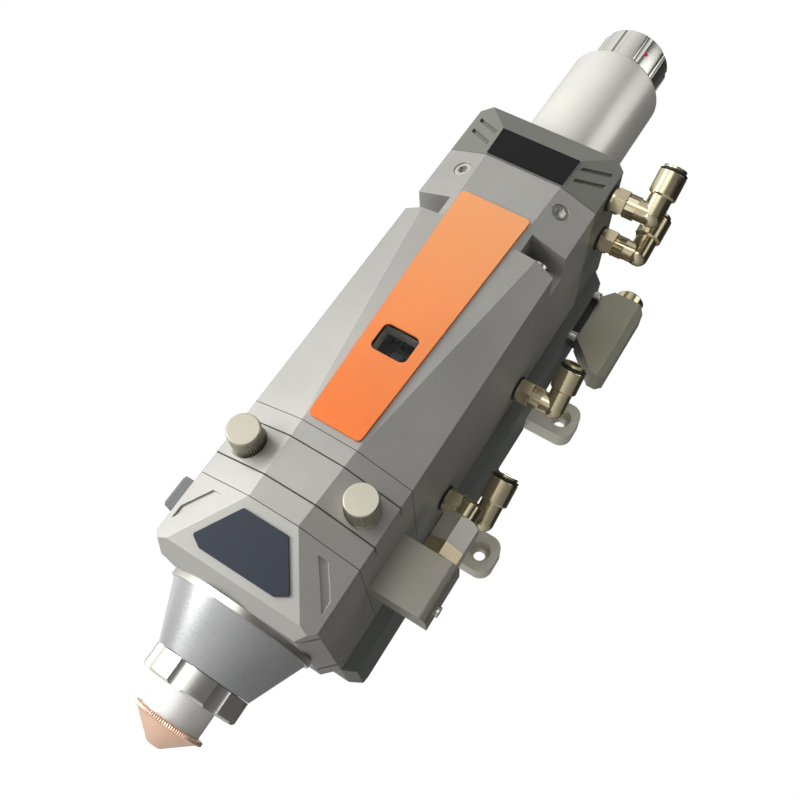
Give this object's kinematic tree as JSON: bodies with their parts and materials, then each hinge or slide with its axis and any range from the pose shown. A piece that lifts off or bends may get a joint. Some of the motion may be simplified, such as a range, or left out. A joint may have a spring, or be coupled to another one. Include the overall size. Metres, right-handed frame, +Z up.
{
  "type": "laser cutting head",
  "caption": "Laser cutting head with bevelled grey housing, fibre receiver on top, protective-window drawer, nozzle cone, push-in hose elbows and a signal connector.",
  "frame": {"origin": "centre of the rear mounting pattern on the rear mounting plane", "axes": "+Z up along the beam towards the fibre, -Y to the front with the window drawer, +X to the side with the hoses; the head hangs upright with the nozzle down"},
  "size_m": [0.1458, 0.14, 0.4403],
  "materials": {
    "housing": "bead-blasted grey anodised",
    "cover": "satin dark grey",
    "bar": "satin silver",
    "cone": "satin turned",
    "orange": "satin orange anodised",
    "black_plate": "satin black",
    "tube": "satin turned",
    "collar": "polished",
    "steel": "bright",
    "inner": "satin",
    "glass": "clear polished",
    "dark_plastic": "matt",
    "seal": "matt",
    "bronze": "machined",
    "knob": "knurled",
    "fitting": "nickel-plated, warm",
    "hood": "cast, satin",
    "sensor": "satin",
    "ceramic": "white glazed",
    "copper": "polished copper"
  },
  "bodies": {
    "head": {"nozzle_module_housing": "housing", "spacer_band": "housing", "drawer_housing": "housing", "intermediate_band": "housing", "main_housing": "housing", "collimator_housing": "housing", "top_cap": "housing", "rear_housing": "cover", "rear_cover": "cover", "mounting_bar_upper": "bar", "mounting_bar_lower": "bar", "cone_body": "cone", "collar_ring": "cone", "face_plate": "orange", "top_plate": "black_plate", "badge_plate": "black_plate", "receiver_tube": "tube", "fibre_seat": "tube", "tie_screws": "steel", "collimator_screws": "steel", "guide_rods": "steel", "gas_block_screw": "steel", "collimator_cell": "inner", "gas_block": "inner", "sight_window": "glass", "collimating_lens": "glass", "focus_motor": "dark_plastic", "connector_socket": "dark_plastic", "screw_bearing": "bronze", "gas_fitting": "fitting", "gas_nut": "fitting", "fitting_stems": "fitting", "cable_ring": "fitting", "connector_shell": "hood", "sensor_block": "sensor", "ceramic_ring": "ceramic"},
    "drawer": {"window_drawer": "housing", "window_seal": "seal", "protective_window": "glass", "window_retainer": "inner"},
    "thumb_left": {"thumb_screw_left": "knob"},
    "thumb_right": {"thumb_screw_right": "knob"},
    "carriage": {"focus_carriage": "inner", "focusing_lens": "glass", "focus_pointer": "dark_plastic", "carriage_nut": "bronze"},
    "drive": {"lead_screw": "steel"},
    "collar": {"bayonet_collar": "collar"},
    "lock": {"lock_ring": "cone"},
    "tip": {"nozzle": "copper"},
    "jack_upper": {"jack_screw_upper": "steel"},
    "jack_lower": {"jack_screw_lower": "steel"},
    "hose_elbow_1": {"elbow_1": "fitting"},
    "hose_release_1": {"release_ring_1": "fitting"},
    "hose_elbow_2": {"elbow_2": "fitting"},
    "hose_release_2": {"release_ring_2": "fitting"},
    "hose_elbow_3": {"elbow_3": "fitting"},
    "hose_release_3": {"release_ring_3": "fitting"},
    "hose_elbow_4": {"elbow_4": "fitting"},
    "hose_release_4": {"release_ring_4": "fitting"}
  },
  "joints": [
    {"name": "drawer_slide", "type": "slide", "parent": "head", "child": "drawer", "axis": [0, -1, 0], "range_m": [0, 0.055]},
    {"name": "thumb_left_turn", "type": "hinge", "parent": "drawer", "child": "thumb_left", "pos_m": [-0.029, -0.125, -0.0862], "axis": [0, 1, 0], "range_deg": [-1080, 0]},
    {"name": "thumb_right_turn", "type": "hinge", "parent": "drawer", "child": "thumb_right", "pos_m": [0.029, -0.125, -0.0862], "axis": [0, 1, 0], "range_deg": [-1080, 0]},
    {"name": "focus_slide", "type": "slide", "parent": "head", "child": "carriage", "axis": [0, 0, 1], "range_m": [-0.01, 0.01]},
    {"name": "drive_turn", "type": "hinge", "parent": "head", "child": "drive", "pos_m": [0, -0.053, -0.0465], "axis": [0, 0, 1], "range_deg": [-901, 901]},
    {"name": "collar_turn", "type": "hinge", "parent": "head", "child": "collar", "pos_m": [0, -0.086, 0.2185], "axis": [0, 0, 1], "range_deg": [0, 45]},
    {"name": "lock_turn", "type": "hinge", "parent": "head", "child": "lock", "pos_m": [0, -0.086, -0.1765], "axis": [0, 0, 1], "range_deg": [0, 720]},
    {"name": "nozzle_turn", "type": "hinge", "parent": "head", "child": "tip", "pos_m": [0, -0.086, -0.1945], "axis": [0, 0, 1], "range_deg": [0, 1440]},
    {"name": "jack_upper_turn", "type": "hinge", "parent": "head", "child": "jack_upper", "pos_m": [0.048, -0.0405, 0.109], "axis": [1, 0, 0], "range_deg": [0, 1080]},
    {"name": "jack_lower_turn", "type": "hinge", "parent": "head", "child": "jack_lower", "pos_m": [0.048, -0.0405, 0.0795], "axis": [1, 0, 0], "range_deg": [0, 1080]},
    {"name": "elbow_1_swivel", "type": "hinge", "parent": "head", "child": "hose_elbow_1", "pos_m": [0.05, -0.1147, 0.1145], "axis": [1, 0, 0], "range_deg": [-20, 60]},
    {"name": "release_1_press", "type": "slide", "parent": "hose_elbow_1", "child": "hose_release_1", "axis": [0, 0.5, -0.866], "range_m": [0, 0.0008], "stiffness_N_per_m": 400},
    {"name": "elbow_2_swivel", "type": "hinge", "parent": "head", "child": "hose_elbow_2", "pos_m": [0.05, -0.0857, 0.112], "axis": [1, 0, 0], "range_deg": [-60, 10]},
    {"name": "release_2_press", "type": "slide", "parent": "hose_elbow_2", "child": "hose_release_2", "axis": [0, 0.2588, -0.9659], "range_m": [0, 0.0008], "stiffness_N_per_m": 400},
    {"name": "elbow_3_swivel", "type": "hinge", "parent": "head", "child": "hose_elbow_3", "pos_m": [0.05, -0.053, 0.0295], "axis": [1, 0, 0], "range_deg": [-45, 60]},
    {"name": "release_3_press", "type": "slide", "parent": "hose_elbow_3", "child": "hose_release_3", "axis": [0, 0.6428, -0.766], "range_m": [0, 0.0008], "stiffness_N_per_m": 400},
    {"name": "elbow_4_swivel", "type": "hinge", "parent": "head", "child": "hose_elbow_4", "pos_m": [0.05, -0.057, -0.0429], "axis": [1, 0, 0], "range_deg": [-45, 35]},
    {"name": "release_4_press", "type": "slide", "parent": "hose_elbow_4", "child": "hose_release_4", "axis": [0, 0.4226, -0.9063], "range_m": [0, 0.0008], "stiffness_N_per_m": 400}
  ],
  "couplings": [
    {"joint": "drive_turn", "follows": "focus_slide", "rad_per_m": 1570.8}
  ]
}
